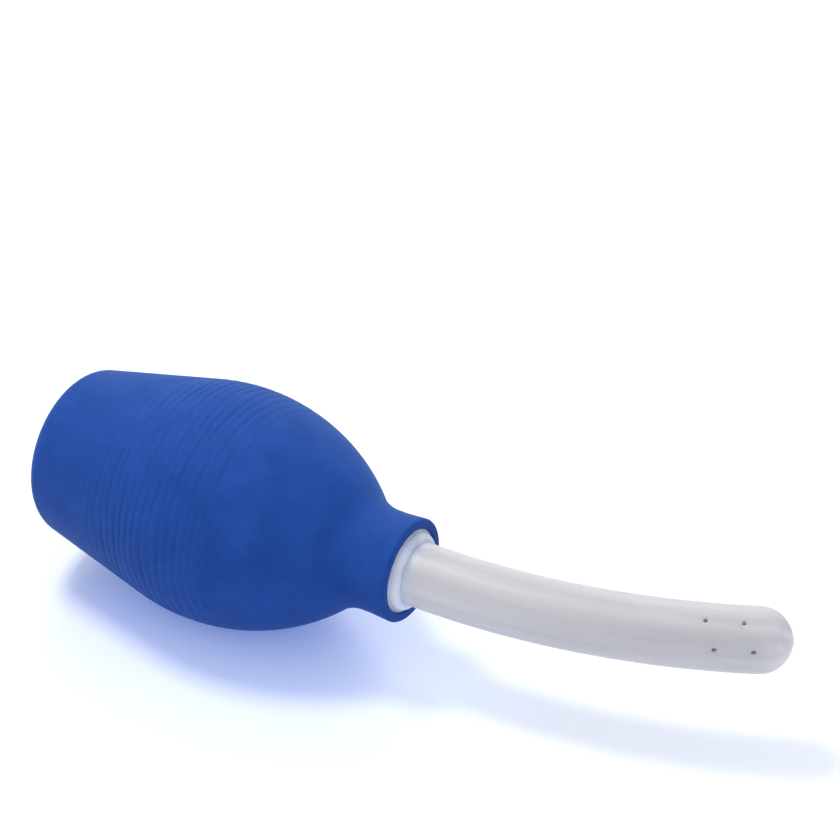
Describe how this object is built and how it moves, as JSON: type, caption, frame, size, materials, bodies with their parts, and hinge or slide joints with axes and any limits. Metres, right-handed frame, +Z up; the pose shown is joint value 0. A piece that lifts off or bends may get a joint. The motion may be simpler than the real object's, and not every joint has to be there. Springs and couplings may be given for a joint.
{
  "type": "bulb syringe",
  "caption": "Squeezable rubber bulb with a long bent spray nozzle plugged into its neck; the nozzle turns and pulls out for filling.",
  "frame": {"origin": "centre of the small flat that the belly rests on, under the bulb's widest circle", "axes": "+X along the bulb's axis from the base to the nozzle, +Z up from the surface it lies on; the nozzle bends sideways, towards +Y"},
  "size_m": [0.2239, 0.07, 0.0686],
  "materials": {
    "bulb_rubber": "matte",
    "nozzle_plastic": "satin",
    "bush_plastic": "satin",
    "seal_rubber": "matte"
  },
  "bodies": {
    "bulb": {"bulb": "bulb_rubber"},
    "sleeve": {"neck_bush": "bush_plastic"},
    "nozzle": {"nozzle": "nozzle_plastic", "spigot_o_ring_rear": "seal_rubber", "spigot_o_ring_front": "seal_rubber"}
  },
  "joints": [
    {"name": "nozzle_turn", "type": "hinge", "parent": "bulb", "child": "sleeve", "pos_m": [0.052, 0, 0.0336], "axis": [1, 0, 0], "continuous": true},
    {"name": "nozzle_pull", "type": "slide", "parent": "sleeve", "child": "nozzle", "axis": [1, 0, 0], "range_m": [0, 0.03]}
  ]
}
